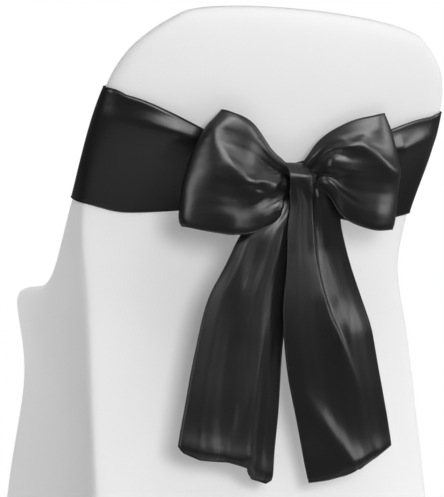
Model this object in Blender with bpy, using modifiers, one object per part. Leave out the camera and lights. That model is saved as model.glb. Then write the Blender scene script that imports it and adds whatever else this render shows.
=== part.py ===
"""A stretch cover for a folding chair, with a wide satin sash tied in a bow behind its back.

Metres, +Z up. The chair that fills the cover faces -Y and is not part of the model. The bow is on
the +Y side. The origin is on the floor, under the middle of the whole.
"""

import math
from collections import namedtuple

import bmesh
import bpy
from mathutils import Matrix, Vector
from mathutils.bvhtree import BVHTree

# ---------------------------------------------------------------- driving sizes
CENTRING = 0.0250       # moves everything along +Y, so that the origin is under the middle
CLOTH = 0.0020          # thickness of the stretch cloth
SATIN = 0.0016          # thickness of the sash
SEAM_GAP = 0.0004       # gap between two panels that are sewn edge to edge
SHARPEST_MITRE = 0.4    # least cosine by which a seam's gap is widened where the seam turns
SUBDIVISION = 1         # level at which the cover's cage is subdivided

# ---------------------------------------------------------------- the cover's rings
# A ring runs once around the cover. It has a front edge and a rear edge on each side, where the
# cloth bends around a leg or around the chair's back: half width, y and z of each. ymf, zmf and
# ymr, zmr are the middles of the front and of the rear panel. The side panel leaves the front edge
# at so many degrees down from straight back, its middle is drawn in by draw, and there its hem
# rises by arch.
Ring = namedtuple("Ring", "name wf yf zf wr yr zr ymf zmf ymr zmr down draw arch")
RINGS = (
    #     name         wf     yf    zf    wr    yr    zr    ymf    zmf   ymr   zmr  down  draw  arch
    Ring("hem",      .222, -.326, .052, .240, .202, .052, -.290, .150, .196, .120,  0,  .020, .110),
    Ring("shin",     .217, -.294, .180, .240, .184, .160, -.268, .215, .182, .190,  0,  .018, .050),
    Ring("knee",     .212, -.228, .300, .239, .168, .250, -.228, .305, .168, .265,  0,  .014, .020),
    Ring("apron",    .213, -.234, .365, .238, .154, .330, -.242, .365, .156, .335, 10,  .012, .010),
    Ring("lip",      .216, -.268, .430, .236, .141, .400, -.280, .430, .144, .400, 40,  .008, .000),
    Ring("brow",     .217, -.244, .454, .235, .132, .430, -.254, .456, .136, .430, 75,  .005, .000),
    Ring("seat",     .226, -.120, .452, .235, .125, .455, -.120, .448, .131, .455, 88,  .003, .000),
    Ring("corner",   .232, -.020, .460, .236, .118, .490, -.020, .457, .129, .490, 60,  .002, .000),
    Ring("waist",    .242,  .076, .545, .241, .126, .545,  .087, .545, .144, .545, 20, -.002, .000),
    Ring("band",     .232,  .147, .620, .234, .177, .620,  .163, .620, .197, .620,  0, -.013, .000),
    Ring("chest",    .224,  .199, .690, .225, .226, .690,  .214, .690, .245, .690,  0, -.015, .000),
    Ring("shoulder", .203,  .236, .738, .203, .262, .738,  .250, .750, .280, .750,  0, -.014, .000),
    Ring("brim",     .153,  .256, .772, .153, .282, .772,  .266, .782, .294, .782,  0, -.009, .000),
)
CROWN_RISE = 0.007      # height of the top seam above the last ring
CORNER_STEP = 0.020     # distance from an edge to the first column of points, which rounds it
HEEL_STEP = 0.052       # distance from an edge to the second column, where the hem's arch starts
CORNER_SHARE = 0.22     # the same two distances on a narrow side panel, as parts of its width
HEEL_SHARE = 0.38
QUARTER = 0.45          # place of the column between the middle and the heel, as part of the width
EDGE_COLUMN = 4         # number of the column that runs up a front edge
SIDE_COLUMN = 7         # number of the column halfway across a side panel
REAR_COLUMN = 10        # number of the column that runs up a rear edge
PANELS = ("front_panel", "back_panel", "side_panel_left", "side_panel_right")

# ---------------------------------------------------------------- the foot pockets
POCKET_WIDTH = 0.040    # outer width and depth at its rim
POCKET_TAPER = 0.80     # width at the floor, as part of the width at the rim
POCKET_GAP = 0.0009     # from its rim up to the hem, whose inner side hangs a little lower
POCKET_ROUND = 0.012    # radius of its upright edges
POCKET_FACETS = 3       # faces around each of them
FRONT_RAKE = 0.015      # how far a front foot runs forwards below the hem
REAR_RAKE = 0.008       # how far a rear foot runs backwards below the hem

# ---------------------------------------------------------------- the sash
# The band's selvedges: height of the upper and of the lower one on the back, at a share of the
# way from its middle to where it turns around the side, and then all the way across the front.
# fold is how far the lengthwise fold below the upper selvedge stands out there.
BandRow = namedtuple("BandRow", "share upper lower fold")
BAND_REAR = (
    #       share  upper lower fold
    BandRow(0.00, .603, .567, .000),
    BandRow(0.26, .621, .556, .004),
    BandRow(0.52, .643, .550, .014),
    BandRow(0.84, .669, .546, .024),
    BandRow(1.00, .678, .552, .006),
)
BAND_FRONT = BandRow(1.00, .690, .566, .000)
BAND_FOLD = (0.2, 1.0, 0.6, 0.3, 0.1, 0.0)      # that fold's shape across the band
BAND_STAND_OFF = 0.0033     # distance from the cover to the middle of the band's thickness
BAND_ACROSS = 5             # faces across the band, one less than the points of its fold
BAND_ALONG = 6              # faces from the middle of the back to where the band turns
END_RADIUS = 0.022          # radius of the band's turn around the side of the chair's back
END_STEPS = 12              # faces along that turn
SIDE_PROBE = 0.190          # half width at which the middle of the chair back's depth is taken
KNOT_CENTRE = Vector((-0.020, 0.2015, 0.5855))
KNOT_SIZE = Vector((0.040, 0.045, 0.050))
KNOT_TILT = math.radians(-32)   # leans with the chair's back
KNOT_AROUND = 16            # faces around the knot
KNOT_UPRIGHT = 10           # faces from the knot's bottom to its top

# A section runs across the ribbon from selvedge a to selvedge b. out is how far its middle stands
# out behind the chair, side how far that middle lies to the side, away from the knot, and pleat
# is the height of its gathers.
Section = namedtuple("Section", "name ax ay az bx by bz out side pleat")
LOOP_LEFT = (
    #        name         ax    ay    az      bx    by    bz     out   side  pleat
    Section("knot",     -.014, .212, .601, -.014, .196, .571,  .000, .000, .002),
    Section("throat",    .022, .226, .619,  .019, .222, .541,  .006, .002, .004),
    Section("face",      .060, .244, .650,  .063, .236, .521,  .010, .006, .003),
    Section("cheek",     .090, .248, .661,  .109, .238, .523,  .008, .015, .001),
    Section("fold",      .100, .240, .664,  .139, .226, .528,  .002, .022, .000),
    Section("return",    .088, .230, .659,  .122, .214, .528, -.004, .014, .000),
    Section("back",      .052, .220, .638,  .066, .198, .541, -.004, .010, .001),
    Section("root",     -.014, .204, .600, -.014, .190, .573,  .000, .000, .002),
)
LOOP_RIGHT = (
    #        name         ax    ay    az      bx    by    bz     out   side  pleat
    Section("knot",     -.026, .212, .601, -.026, .196, .571,  .000, .000, .002),
    Section("throat",   -.046, .226, .636, -.053, .222, .556,  .006, .002, .003),
    Section("face",     -.080, .238, .660, -.079, .232, .541,  .012, .002, .001),
    Section("cheek",    -.114, .244, .670, -.117, .230, .530,  .010, .010, .001),
    Section("fold",     -.132, .240, .674, -.147, .220, .531,  .004, .017, .000),
    Section("return",   -.118, .234, .666, -.133, .204, .534, -.004, .012, .000),
    Section("back",     -.076, .225, .645, -.083, .190, .545, -.004, .004, .001),
    Section("root",     -.026, .204, .600, -.026, .190, .573,  .000, .000, .002),
)
TAIL_LEFT = (
    #        name         ax    ay    az      bx    by    bz     out   side  pleat
    Section("knot",     -.008, .200, .582, -.026, .200, .582,  .000, .000, .001),
    Section("neck",      .026, .210, .548, -.026, .208, .548,  .004, .000, .003),
    Section("flare",     .062, .220, .518, -.018, .212, .518,  .006, .000, .003),
    Section("upper",     .085, .223, .478, -.010, .213, .478,  .006, .000, .003),
    Section("middle",    .112, .227, .432, -.003, .214, .432,  .006, .000, .003),
    Section("lower",     .132, .233, .366,  .007, .218, .360,  .006, .000, .003),
    Section("skirt",     .145, .238, .313,  .014, .222, .290,  .006, .000, .004),
    Section("hem",       .156, .240, .263,  .027, .228, .214,  .004, .000, .004),
)
TAIL_RIGHT = (
    #        name         ax    ay    az      bx    by    bz     out   side  pleat
    Section("knot",     -.008, .206, .580, -.034, .206, .580,  .000, .000, .001),
    Section("neck",     -.004, .227, .552, -.072, .226, .560,  .002, .000, .003),
    Section("hip",       .000, .229, .522, -.077, .227, .526,  .003, .000, .004),
    Section("upper",     .002, .230, .478, -.090, .226, .480,  .004, .000, .004),
    Section("middle",    .009, .230, .420, -.111, .226, .420,  .006, .000, .004),
    Section("lower",     .003, .228, .350, -.129, .226, .352,  .008, .000, .004),
    Section("skirt",    -.012, .226, .280, -.144, .226, .282,  .006, .000, .004),
    Section("hem",      -.028, .224, .207, -.147, .226, .247,  .004, .000, .004),
)
# How far each tail's hem hangs below a straight line, at each point across it.
HEM_DROPS = {
    "sash_tail_left": (.000, .006, .005, .002, -.003, -.002, .007, .007, .001),
    "sash_tail_right": (.000, .004, .006, .008, .007, .008, .007, .003, .000),
}

# A ribbon's end: its sections, the way it runs from the knot (+1 is +X), the faces across it and
# the gathers across it.
Ribbon = namedtuple("Ribbon", "name sections hand across gathers")
RIBBONS = (
    Ribbon("sash_loop_left", LOOP_LEFT, 1, 10, 2.5),
    Ribbon("sash_loop_right", LOOP_RIGHT, -1, 10, 2.5),
    Ribbon("sash_tail_left", TAIL_LEFT, 1, 8, 2.0),
    Ribbon("sash_tail_right", TAIL_RIGHT, -1, 8, 2.0),
)
RIBBON_STEPS = 2        # faces between two sections
RAY = 0.5               # distance from which rays are cast at the cover, more than its size there


# ---------------------------------------------------------------- scene helpers
def clear_scene():
    """Remove every object that the file opened with."""
    for old in list(bpy.data.objects):
        bpy.data.objects.remove(old)


def new_collection(name):
    """Make a collection in the scene."""
    collection = bpy.data.collections.new(name)
    bpy.context.scene.collection.children.link(collection)
    return collection


def plain_material(name, colour, roughness, metallic):
    """Make a Principled material of one colour."""
    material = bpy.data.materials.new(name)
    material.use_nodes = True
    shader = material.node_tree.nodes["Principled BSDF"]
    shader.inputs["Base Color"].default_value = (*colour, 1.0)
    shader.inputs["Roughness"].default_value = roughness
    shader.inputs["Metallic"].default_value = metallic
    material.diffuse_color = (*colour, 1.0)
    return material


def object_from_bmesh(name, shape, collection, material=None):
    """Turn a bmesh into an object of the collection."""
    mesh = bpy.data.meshes.new(name)
    shape.to_mesh(mesh)
    shape.free()
    mesh.shade_smooth()
    made = bpy.data.objects.new(name, mesh)
    collection.objects.link(made)
    if material:
        mesh.materials.append(material)
    return made


def evaluated_bmesh(source):
    """The mesh of an object with its modifiers, as a bmesh."""
    graph = bpy.context.evaluated_depsgraph_get()
    shape = bmesh.new()
    shape.from_object(source, graph)
    return shape


# ---------------------------------------------------------------- the cover
def panel_row(width, edge, middle, hem):
    """Points of a front or rear panel from its middle to its +X edge; edge and middle are (y, z)."""
    reach = width - HEEL_STEP if hem else width
    row = []
    for x in (0.0, QUARTER * width, width - HEEL_STEP, width - CORNER_STEP, width):
        crown = max(0.0, 1.0 - (x / reach) ** 2)
        y = edge[0] + (middle[0] - edge[0]) * crown
        z = edge[1] + (middle[1] - edge[1]) * crown
        row.append(Vector((x, y, z)))
    return row


def side_row(front_edge, rear_edge, down, draw, arch, hem):
    """Points of a +X side panel between its two edges, without those edges."""
    depth = (rear_edge - front_edge).length
    corner = min(CORNER_STEP, CORNER_SHARE * depth)
    heel = min(HEEL_STEP, HEEL_SHARE * depth)
    reach = depth / 2 - heel if hem else depth / 2
    leave = Vector((0.0, math.cos(math.radians(down)), -math.sin(math.radians(down)))) * depth
    arrive = Vector((0.0, depth, 0.0))
    row = []
    for distance in (corner, heel, depth / 2, depth - heel, depth - corner):
        t = distance / depth
        hermite = (
            front_edge * (2 * t**3 - 3 * t**2 + 1)
            + leave * (t**3 - 2 * t**2 + t)
            + rear_edge * (3 * t**2 - 2 * t**3)
            + arrive * (t**3 - t**2)
        )
        crown = max(0.0, 1.0 - ((distance - depth / 2) / reach) ** 2)
        row.append(hermite + Vector((-draw * crown, 0.0, arch * crown)))
    return row


def ring_points(ring):
    """All points of one ring, from the middle of the front round by +X and back by -X."""
    hem = ring.name == "hem"
    front = panel_row(ring.wf, (ring.yf, ring.zf), (ring.ymf, ring.zmf), hem)
    rear = panel_row(ring.wr, (ring.yr, ring.zr), (ring.ymr, ring.zmr), hem)
    half = front + side_row(front[-1], rear[-1], ring.down, ring.draw, ring.arch, hem) + rear[::-1]
    mirrored = [Vector((-p.x, p.y, p.z)) for p in half[-2:0:-1]]
    return half + mirrored


def panel_at(column, around):
    """Index of the panel that holds the face after this column."""
    if column < EDGE_COLUMN or column >= around - EDGE_COLUMN:
        return PANELS.index("front_panel")
    if column < REAR_COLUMN:
        return PANELS.index("side_panel_left")
    if column < around - REAR_COLUMN:
        return PANELS.index("back_panel")
    return PANELS.index("side_panel_right")


def cover_cage():
    """The cover's coarse cage: rings joined by quads, closed along a seam over the top."""
    cage = bmesh.new()
    rows = [[cage.verts.new(point) for point in ring_points(ring)] for ring in RINGS]
    around = len(rows[0])
    half = around // 2

    def add_face(corners, panel):
        cage.faces.new(corners).material_index = panel

    for lower, upper in zip(rows, rows[1:]):
        for i in range(around):
            j = (i + 1) % around
            add_face((lower[i], lower[j], upper[j], upper[i]), panel_at(i, around))

    brim = rows[-1]
    front = PANELS.index("front_panel")
    back = PANELS.index("back_panel")
    columns = [i % around for i in range(EDGE_COLUMN, -EDGE_COLUMN - 1, -1)]
    crown = []
    for i in columns:
        seam = (brim[i].co + brim[(half - i) % around].co) / 2
        end = i in (EDGE_COLUMN, around - EDGE_COLUMN)
        seam.z += CROWN_RISE / 2 if end else CROWN_RISE
        crown.append(cage.verts.new(seam))
    for k in range(len(columns) - 1):
        a = columns[k]
        b = columns[k + 1]
        add_face((brim[b], brim[a], crown[k], crown[k + 1]), front)
        add_face((crown[k + 1], crown[k], brim[(half - a) % around], brim[(half - b) % around]), back)

    front_arc = list(range(EDGE_COLUMN, SIDE_COLUMN + 1))
    rear_arc = list(range(SIDE_COLUMN, REAR_COLUMN + 1))
    add_face([brim[i] for i in front_arc] + [crown[0]], front)
    add_face([brim[i] for i in rear_arc] + [crown[0]], back)
    add_face([brim[around - i] for i in front_arc[::-1]] + [crown[-1]], front)
    add_face([brim[around - i] for i in rear_arc[::-1]] + [crown[-1]], back)
    bmesh.ops.recalc_face_normals(cage, faces=cage.faces)
    return cage


def cover_skin(collection):
    """The cover's outer surface, subdivided, with each face's panel in its material index."""
    cage = object_from_bmesh("cover_cage", cover_cage(), collection)
    subdivision = cage.modifiers.new("Subdivision", "SUBSURF")
    subdivision.levels = SUBDIVISION
    subdivision.render_levels = SUBDIVISION
    skin = evaluated_bmesh(cage)
    bpy.data.objects.remove(cage)
    bmesh.ops.triangulate(skin, faces=skin.faces)
    skin.verts.index_update()
    skin.normal_update()
    return skin


def faces_of(edge, panel):
    """The faces of one panel that meet at an edge."""
    return [face for face in edge.link_faces if face.material_index == panel]


def seam_shift(vertex, panel):
    """The way from a seam into the panel, by half the seam's gap; nothing away from a seam."""
    inwards = []
    for edge in vertex.link_edges:
        own = faces_of(edge, panel)
        seam = len(own) == 1 and len(edge.link_faces) == 2
        if not seam:
            continue
        along = edge.verts[1].co - edge.verts[0].co
        across = own[0].normal.cross(along).normalized()
        towards = own[0].calc_center_median() - edge.verts[0].co
        inwards.append(across if across.dot(towards) > 0 else -across)
    if not inwards:
        return Vector((0.0, 0.0, 0.0))
    middle = sum(inwards, Vector((0.0, 0.0, 0.0))).normalized()
    mitre = max(middle.dot(inwards[0]), SHARPEST_MITRE)
    return middle * (0.5 * SEAM_GAP / mitre)


def panel_solid(skin, panel):
    """One panel as a closed solid: its outer faces, the same faces a cloth's thickness in, and rims.

    Two panels that share a seam split its rim along the same diagonals, so the rims run parallel.
    """
    faces = [face for face in skin.faces if face.material_index == panel]
    solid = bmesh.new()
    outer = {}
    inner = {}
    for vertex in skin.verts:
        if all(face.material_index != panel for face in vertex.link_faces):
            continue
        place = vertex.co + seam_shift(vertex, panel)
        outer[vertex] = solid.verts.new(place)
        inner[vertex] = solid.verts.new(place - vertex.normal * CLOTH)
    for face in faces:
        solid.faces.new([outer[v] for v in face.verts])
        solid.faces.new([inner[v] for v in reversed(face.verts)])
        for loop in face.loops:
            if len(faces_of(loop.edge, panel)) == 1:
                a = loop.vert
                b = loop.link_loop_next.vert
                if a.index < b.index:
                    solid.faces.new((outer[b], outer[a], inner[a]))
                    solid.faces.new((outer[b], inner[a], inner[b]))
                else:
                    solid.faces.new((outer[b], outer[a], inner[b]))
                    solid.faces.new((outer[a], inner[a], inner[b]))
    return solid


def build_cover(parts, scratch, material):
    """Make the four panels; returns the outer skin as a tree that rays can be cast at."""
    skin = cover_skin(scratch)
    for index, name in enumerate(PANELS):
        object_from_bmesh(name, panel_solid(skin, index), parts, material)
    tree = BVHTree.FromBMesh(skin)
    skin.free()
    return tree


# ---------------------------------------------------------------- the foot pockets
def build_pocket(name, side, edge, towards, rake, parts, material):
    """A tapered cup under one corner of the hem. towards is +1 where the cover lies at greater y."""
    width = POCKET_WIDTH
    rim = RINGS[0].zf - POCKET_GAP
    shape = bmesh.new()
    bmesh.ops.create_cube(shape, size=1.0)
    top = max(shape.faces, key=lambda face: face.calc_center_median().z)
    upright = [e for e in shape.edges if abs(e.verts[0].co.z - e.verts[1].co.z) > 0.5]
    bmesh.ops.scale(shape, vec=(width, width, rim - CLOTH / 2), verts=shape.verts)
    bmesh.ops.delete(shape, geom=[top], context="FACES_ONLY")
    bmesh.ops.bevel(
        shape, geom=upright, offset=POCKET_ROUND, segments=POCKET_FACETS, affect="EDGES", profile=0.5
    )
    centre = Vector((side * (edge[0] - width / 2), edge[1] + towards * width / 2, 0.0))
    for vertex in shape.verts:
        low = vertex.co.z < 0
        if low:
            vertex.co.x *= POCKET_TAPER
            vertex.co.y *= POCKET_TAPER
        vertex.co += centre
        vertex.co.y -= towards * rake if low else 0.0
        vertex.co.z = CLOTH / 2 if low else rim
    bmesh.ops.recalc_face_normals(shape, faces=shape.faces)
    pocket = object_from_bmesh(name, shape, parts, material)
    wall = pocket.modifiers.new("Solidify", "SOLIDIFY")
    wall.thickness = CLOTH
    wall.offset = 0.0
    return pocket


def build_pockets(parts, material):
    """Make the four foot pockets."""
    hem = RINGS[0]
    for side, hand in ((1, "left"), (-1, "right")):
        front = (hem.wf - CLOTH / 2, hem.yf + CLOTH / 2)
        rear = (hem.wr - CLOTH / 2, hem.yr - CLOTH / 2)
        build_pocket(f"foot_pocket_front_{hand}", side, front, 1, FRONT_RAKE, parts, material)
        build_pocket(f"foot_pocket_rear_{hand}", side, rear, -1, REAR_RAKE, parts, material)


# ---------------------------------------------------------------- the sash
def smooth_between(p0, p1, p2, p3, t):
    """Catmull-Rom interpolation from p1 to p2."""
    a = 2 * p1
    b = (p2 - p0) * t
    c = (2 * p0 - 5 * p1 + 4 * p2 - p3) * t * t
    d = (3 * p1 - p0 - 3 * p2 + p3) * t * t * t
    return (a + b + c + d) / 2


def section_values(section):
    """The numbers of a section as three vectors: selvedge a, selvedge b and (out, side, pleat)."""
    a = Vector((section.ax, section.ay, section.az))
    b = Vector((section.bx, section.by, section.bz))
    return a, b, Vector((section.out, section.side, section.pleat))


def ribbon_rows(ribbon):
    """Points of a ribbon, row after row along it."""
    values = [section_values(section) for section in ribbon.sections]
    last = len(values) - 1
    rows = []
    for step in range(last * RIBBON_STEPS + 1):
        k = min(step // RIBBON_STEPS, last - 1)
        t = step / RIBBON_STEPS - k
        near = [values[min(max(k + offset, 0), last)] for offset in (-1, 0, 1, 2)]
        a, b, shape = (smooth_between(*(row[part] for row in near), t) for part in range(3))
        row = []
        for i in range(ribbon.across + 1):
            v = i / ribbon.across
            crown = 4 * v * (1 - v)
            fold = shape.z * math.sin(2 * math.pi * ribbon.gathers * v)
            lift = Vector((ribbon.hand * shape.y * crown, shape.x * crown + fold, 0.0))
            row.append(a.lerp(b, v) + lift)
        rows.append(row)
    for point, drop in zip(rows[-1], HEM_DROPS.get(ribbon.name, ())):
        point.z -= drop
    return rows


def sheet_from_rows(name, rows, closed, collection):
    """An open surface through rows of points, given the sash's thickness by Solidify."""
    shape = bmesh.new()
    grid = [[shape.verts.new(point) for point in row] for row in rows]
    pairs = list(zip(grid, grid[1:]))
    if closed:
        pairs.append((grid[-1], grid[0]))
    for row, following in pairs:
        for i in range(len(row) - 1):
            shape.faces.new((row[i], row[i + 1], following[i + 1], following[i]))
    sheet = object_from_bmesh(name, shape, collection)
    cloth = sheet.modifiers.new("Solidify", "SOLIDIFY")
    cloth.thickness = SATIN
    cloth.offset = 0.0
    return sheet


def between_band_rows(near, far, t):
    """The band at a share of the way from one of its rows to another."""
    return BandRow(*(a + (b - a) * t for a, b in zip(near, far)))


def band_at(share):
    """The band at a share of the way out along the back."""
    for near, far in zip(BAND_REAR, BAND_REAR[1:]):
        if share <= far.share:
            return between_band_rows(near, far, (share - near.share) / (far.share - near.share))
    return BAND_REAR[-1]


def turn_stations(hand, to_front):
    """The band's columns around one side of the chair's back, from the rear or from the front."""
    stations = []
    for step in range(1, END_STEPS):
        t = step / END_STEPS if to_front else 1 - step / END_STEPS
        facing = Vector((hand * math.sin(math.pi * t), math.cos(math.pi * t), 0.0))
        climb = math.sin(math.pi * t / 2)
        stations.append((hand, facing, between_band_rows(BAND_REAR[-1], BAND_FRONT, climb)))
    return stations


def band_stations():
    """Where the band's columns lie: (share of the way out, way the cover faces there, its row)."""
    shares = [i / BAND_ALONG for i in range(-BAND_ALONG, BAND_ALONG + 1)]
    rear = [(share, Vector((0.0, 1.0, 0.0)), band_at(abs(share))) for share in shares]
    front = [(share, Vector((0.0, -1.0, 0.0)), BAND_FRONT) for share in reversed(shares)]
    return rear + turn_stations(1, True) + front + turn_stations(-1, False)


def chair_back(skin, x, z):
    """Middle of the chair back's depth at a place of the cover."""
    rear = skin.ray_cast(Vector((x, RAY, z)), Vector((0.0, -1.0, 0.0)))[0]
    front = skin.ray_cast(Vector((x, -RAY, z)), Vector((0.0, 1.0, 0.0)))[0]
    return (rear + front) / 2


def band_rows(skin):
    """Points of the band, column after column around the chair's back."""
    rows = []
    for share, facing, band in band_stations():
        row = []
        for i, fold in enumerate(BAND_FOLD):
            z = band.upper + (band.lower - band.upper) * i / BAND_ACROSS
            probe = chair_back(skin, SIDE_PROBE, z)
            outside = Vector((RAY, probe.y, z))
            half_width = skin.ray_cast(outside, Vector((-1.0, 0.0, 0.0)))[0].x
            centre = chair_back(skin, share * (half_width - END_RADIUS), z)
            place, normal, _, _ = skin.ray_cast(centre + facing * RAY, -facing)
            row.append(place + normal * BAND_STAND_OFF + Vector((0.0, band.fold * fold, 0.0)))
        rows.append(row)
    return rows


def build_knot(parts, material):
    """The wrap around the gathers, as a barrel with rounded ends."""
    shape = bmesh.new()
    bmesh.ops.create_uvsphere(shape, u_segments=KNOT_AROUND, v_segments=KNOT_UPRIGHT, radius=0.5)
    for vertex in shape.verts:
        level = 2 * vertex.co.z
        ring = math.hypot(vertex.co.x, vertex.co.y)
        if ring > 0:
            full = math.sqrt(1 - abs(level) ** 3) / (2 * ring)
            vertex.co.x *= full
            vertex.co.y *= full
    lean = Matrix.Rotation(KNOT_TILT, 3, "X")
    bmesh.ops.scale(shape, vec=KNOT_SIZE, verts=shape.verts)
    bmesh.ops.rotate(shape, cent=(0, 0, 0), matrix=lean, verts=shape.verts)
    bmesh.ops.translate(shape, vec=KNOT_CENTRE, verts=shape.verts)
    return object_from_bmesh("sash", shape, parts, material)


def build_sash(skin, parts, cutters, material):
    """One strip of satin: band, two loops and two tails, all joined in the knot."""
    pieces = [sheet_from_rows("sash_band", band_rows(skin), True, cutters)]
    for ribbon in RIBBONS:
        pieces.append(sheet_from_rows(ribbon.name, ribbon_rows(ribbon), False, cutters))
    knot = build_knot(parts, material)
    for piece in pieces:
        piece.hide_render = True
        piece.display_type = "WIRE"
        union = knot.modifiers.new("Join " + piece.name, "BOOLEAN")
        union.operation = "UNION"
        union.object = piece
    return knot


# ---------------------------------------------------------------- build
def main():
    """Build the cover and the sash."""
    clear_scene()
    parts = new_collection("chair_cover_with_sash")
    cutters = new_collection("cutters")
    stretch_cloth = plain_material("stretch_cloth", (0.86, 0.86, 0.86), 0.85, 0.0)
    black_satin = plain_material("black_satin", (0.012, 0.012, 0.013), 0.38, 0.0)

    skin = build_cover(parts, cutters, stretch_cloth)
    build_pockets(parts, stretch_cloth)
    build_sash(skin, parts, cutters, black_satin)

    centre = bpy.data.objects.new("centring", None)
    centre.location = (0.0, CENTRING, 0.0)
    bpy.context.scene.collection.objects.link(centre)
    for made in list(parts.objects) + list(cutters.objects):
        made.parent = centre


main()
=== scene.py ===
"""Looks of a stretch chair cover with a black satin sash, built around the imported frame.

Metres, +Z up, the frame's own axes: the covered chair faces -Y and the bow is on the +Y side.
"""

import math
from collections import namedtuple

import bmesh
import bpy
import numpy as np
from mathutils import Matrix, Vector
from mathutils.bvhtree import BVHTree


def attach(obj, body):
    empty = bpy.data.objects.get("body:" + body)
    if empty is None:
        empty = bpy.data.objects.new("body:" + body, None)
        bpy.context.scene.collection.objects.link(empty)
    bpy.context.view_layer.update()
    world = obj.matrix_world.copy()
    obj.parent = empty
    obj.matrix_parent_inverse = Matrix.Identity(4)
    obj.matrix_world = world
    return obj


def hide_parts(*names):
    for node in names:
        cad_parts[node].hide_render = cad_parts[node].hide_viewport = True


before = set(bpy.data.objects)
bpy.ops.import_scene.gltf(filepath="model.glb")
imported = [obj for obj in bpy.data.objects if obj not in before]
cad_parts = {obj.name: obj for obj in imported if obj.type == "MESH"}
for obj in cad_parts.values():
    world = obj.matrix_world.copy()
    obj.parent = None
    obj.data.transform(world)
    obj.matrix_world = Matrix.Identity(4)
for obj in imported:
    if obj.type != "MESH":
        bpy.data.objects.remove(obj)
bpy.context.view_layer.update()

# -------------------------------- sizes that follow the CAD model
CENTRING = 0.0250       # added to each y of the tables below, which gives the model's own y
SUBDIVISION = 3

# One ring around the cover. The edges where the panels meet lie w metres out, at y and z, and the
# middle of a panel at ym and zm; f is the front and r the rear. The side panel leaves the front
# edge down degrees below level. Halfway along, it is drawn in by draw metres and raised by arch.
Ring = namedtuple("Ring", "name wf yf zf wr yr zr ymf zmf ymr zmr down draw arch")
RINGS = (
    #     name         wf     yf    zf    wr    yr    zr    ymf    zmf   ymr   zmr  down  draw  arch
    Ring("hem",      .222, -.326, .052, .240, .202, .052, -.290, .150, .196, .120,  0,  .020, .110),
    Ring("shin",     .217, -.294, .180, .240, .184, .160, -.268, .215, .182, .190,  0,  .018, .050),
    Ring("knee",     .212, -.228, .300, .239, .168, .250, -.228, .305, .168, .265,  0,  .014, .020),
    Ring("apron",    .213, -.234, .365, .238, .154, .330, -.242, .365, .156, .335, 10,  .012, .010),
    Ring("lip",      .216, -.268, .430, .236, .141, .400, -.280, .430, .144, .400, 40,  .008, .000),
    Ring("brow",     .217, -.244, .454, .235, .132, .430, -.254, .456, .136, .430, 75,  .005, .000),
    Ring("seat",     .226, -.120, .452, .235, .125, .455, -.120, .448, .131, .455, 88,  .003, .000),
    Ring("corner",   .232, -.020, .460, .236, .118, .490, -.020, .457, .129, .490, 60,  .002, .000),
    Ring("waist",    .242,  .076, .545, .241, .126, .545,  .087, .545, .144, .545, 20, -.002, .000),
    Ring("band",     .232,  .147, .620, .234, .177, .620,  .163, .620, .197, .620,  0, -.013, .000),
    Ring("chest",    .224,  .199, .690, .225, .226, .690,  .214, .690, .245, .690,  0, -.015, .000),
    Ring("shoulder", .203,  .236, .738, .203, .262, .738,  .250, .750, .280, .750,  0, -.014, .000),
    Ring("brim",     .153,  .256, .772, .153, .282, .772,  .266, .782, .294, .782,  0, -.009, .000),
)
CROWN_RISE = 0.007      # how far the seam over the top stands above the brim
CORNER_STEP = 0.020     # distances of a ring's points from a panel's edge
HEEL_STEP = 0.052
CORNER_SHARE = 0.22     # and the most they take of a side panel's depth
HEEL_SHARE = 0.38
MIDWAY_SHARE = 0.45     # share of the half width at which a panel's next point lies
EDGE_COLUMN = 4         # columns of a ring: the front edge, the middle of the side, the rear edge
SIDE_COLUMN = 7
REAR_COLUMN = 10
PANELS = ("front_panel", "back_panel", "side_panel_left", "side_panel_right")

CLOTH = 0.0010          # thickness of the stretch cloth as it is seen
SEAM_GAP = 0.0003
SEAM_CORD = 0.0006      # radius of the sewn ridge in a seam
CORD_SIDES = 6          # sides of a round ridge or rolled edge

HEM_DEPTH = 0.012       # width of the hem's turned-up fold
HEM_SWELL = 0.0006      # how far the fold's two layers stand proud
HEM_TUCK = 0.0003       # how far the fold's upper end is sunk into the cloth
HEM_DROP = 0.0004       # how far the fold reaches below the cover's edge
# The fold's profile: the share of its width above its lower edge, and the way out from the cloth.
HEM_PROFILE = ((1.00, -HEM_TUCK), (0.98, HEM_SWELL), (0.60, HEM_SWELL), (0.04, HEM_SWELL),
               (0.00, 0.0), (0.04, -CLOTH - HEM_SWELL), (0.98, -CLOTH - HEM_SWELL),
               (1.00, -CLOTH))

STITCH_HEIGHT = 0.78    # share of the fold's width at which its stitches run
STITCH_LENGTH = 0.0026
STITCH_GAP = 0.0012
STITCH_RADIUS = 0.00032
STITCH_SIDES = 4
STITCH_START = 0.2      # share of a stitch's step that passes before it starts
STITCH_COURSE = (0.0, 0.25, 0.75, 1.0)      # shares of a stitch's length
STITCH_LIFT = (-0.4, 0.7, 0.7, -0.4)        # and its height there, in radii

POCKET_WIDTH = 0.040
POCKET_GAP = 0.0009     # between a pocket and the hem above it
POCKET_INSET = 0.001    # how far a pocket lies within the hem's corner
POCKET_WALL = 0.0014
POCKET_FLOOR = 0.0004   # height of a pocket's underside
POCKET_SIDES = 48
POCKET_CORNER = 0.28    # roundness of a pocket's corners: 0 is square and 0.5 is round
# A pocket's profile: shares of its height and of its width, from the rim down.
POCKET_LEVELS = ((1.00, 1.00), (0.97, 1.0), (0.75, 0.99), (0.50, 0.96), (0.25, 0.90), (0.12, 0.85),
                 (0.04, 0.81), (0.012, 0.77), (0.0, 0.70), (0.0, 0.40), (0.0, 0.02))
FRONT_RAKE = 0.015      # how far a pocket's foot lies out from under its rim
REAR_RAKE = 0.008

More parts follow.
